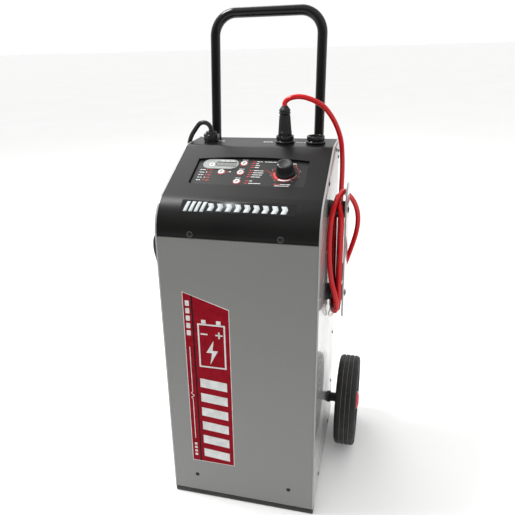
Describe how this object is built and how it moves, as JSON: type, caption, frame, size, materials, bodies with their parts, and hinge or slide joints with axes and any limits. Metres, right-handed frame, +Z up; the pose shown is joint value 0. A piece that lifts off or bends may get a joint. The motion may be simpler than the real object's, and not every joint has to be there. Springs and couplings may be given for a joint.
{
  "type": "wheeled car battery charger",
  "caption": "Upright sheet-metal car battery charger on rear wheels, with a bent tube handle, sloping control panel, output sockets and cable winders on its sides.",
  "frame": {"origin": "on the floor, under the middle of the charger's width and depth", "axes": "+X to the charger's right as seen by someone facing its front panel, +Y towards its back and wheels, +Z up"},
  "size_m": [0.43, 0.3426, 0.9254],
  "materials": {
    "light_grey_paint": "satin",
    "mid_grey_paint": "satin",
    "charcoal_paint": "satin",
    "gloss_black": "gloss",
    "black_plastic": "matt",
    "black_rubber": "matt",
    "tyre_rubber": "matt",
    "red_rubber": "satin",
    "red_plastic": "gloss",
    "white_plastic": "satin",
    "silver_plastic": "satin",
    "dark_lens": "gloss",
    "steel": "zinc plated",
    "brass": "bright",
    "aluminium": "satin",
    "copper_wire": "enamelled wire",
    "circuit_board": "solder mask",
    "core_steel": "laminated"
  },
  "bodies": {
    "casing": {"base_tray": "steel", "front_foot": "black_rubber", "front_panel": "mid_grey_paint", "rear_panel": "mid_grey_paint", "left_side_panel": "light_grey_paint", "right_side_panel": "light_grey_paint", "hood": "charcoal_paint", "control_tray": "charcoal_paint", "display_bezel": "silver_plastic", "display_window": "dark_lens", "control_board": "circuit_board", "potentiometer": "steel", "positive_socket": "black_plastic", "negative_socket": "black_plastic", "positive_contact": "brass", "negative_contact": "brass", "lead_plug": "black_plastic", "plug_boot": "black_rubber", "gland_body": "black_plastic", "gland_nut": "black_plastic", "handle_tube": "gloss_black", "handle_crossbar": "steel", "axle": "steel", "axle_tube": "steel", "axle_sleeve_right": "black_plastic", "axle_sleeve_left": "black_plastic", "hub_cap_right": "red_plastic", "hub_cap_left": "red_plastic", "right_lower_post": "black_plastic", "right_upper_post": "black_plastic", "left_lower_post": "black_plastic", "left_upper_post": "black_plastic", "right_winder_plate": "light_grey_paint", "left_winder_plate": "light_grey_paint", "red_lead_run": "red_rubber", "red_lead_loop": "red_rubber", "red_lead_tail": "red_rubber", "red_lead_winding": "red_rubber", "lead_lug": "brass", "mains_cord_run": "black_rubber", "mains_cord_tail": "black_rubber", "mains_cord_winding": "black_rubber", "mains_plug": "black_plastic", "transformer_core": "core_steel", "transformer_coil": "copper_wire", "fan_frame": "black_plastic", "rectifier_heatsink": "aluminium", "positive_cable": "red_rubber", "negative_cable": "black_rubber"},
    "right_wheel": {"wheel_hub_right": "black_plastic", "tyre_right": "tyre_rubber"},
    "left_wheel": {"wheel_hub_left": "black_plastic", "tyre_left": "tyre_rubber"},
    "fan": {"fan_rotor": "black_plastic"},
    "knob": {"current_knob": "black_plastic"},
    "power_key": {"power_button": "white_plastic"},
    "mode_key_1": {"mode_button_1": "white_plastic"},
    "mode_key_2": {"mode_button_2": "white_plastic"},
    "mode_key_3": {"mode_button_3": "white_plastic"},
    "mode_key_4": {"mode_button_4": "white_plastic"}
  },
  "joints": [
    {"name": "right_wheel_spin", "type": "hinge", "parent": "casing", "child": "right_wheel", "pos_m": [0.18875, 0.0713, 0.1], "axis": [1, 0, 0], "continuous": true},
    {"name": "left_wheel_spin", "type": "hinge", "parent": "casing", "child": "left_wheel", "pos_m": [-0.18875, 0.0713, 0.1], "axis": [1, 0, 0], "continuous": true},
    {"name": "fan_spin", "type": "hinge", "parent": "casing", "child": "fan", "pos_m": [0, 0.1119, 0.33], "axis": [0, 1, 0], "continuous": true},
    {"name": "knob_turn", "type": "hinge", "parent": "casing", "child": "knob", "pos_m": [0.0658, -0.0201, 0.6528], "axis": [0, -0.3995, 0.9167], "range_deg": [-150, 150]},
    {"name": "power_key_press", "type": "slide", "parent": "casing", "child": "power_key", "axis": [0, 0.3995, -0.9167], "range_m": [0, 0.0006], "stiffness_N_per_m": 600},
    {"name": "mode_key_1_press", "type": "slide", "parent": "casing", "child": "mode_key_1", "axis": [0, 0.3995, -0.9167], "range_m": [0, 0.0006], "stiffness_N_per_m": 600},
    {"name": "mode_key_2_press", "type": "slide", "parent": "casing", "child": "mode_key_2", "axis": [0, 0.3995, -0.9167], "range_m": [0, 0.0006], "stiffness_N_per_m": 600},
    {"name": "mode_key_3_press", "type": "slide", "parent": "casing", "child": "mode_key_3", "axis": [0, 0.3995, -0.9167], "range_m": [0, 0.0006], "stiffness_N_per_m": 600},
    {"name": "mode_key_4_press", "type": "slide", "parent": "casing", "child": "mode_key_4", "axis": [0, 0.3995, -0.9167], "range_m": [0, 0.0006], "stiffness_N_per_m": 600}
  ]
}
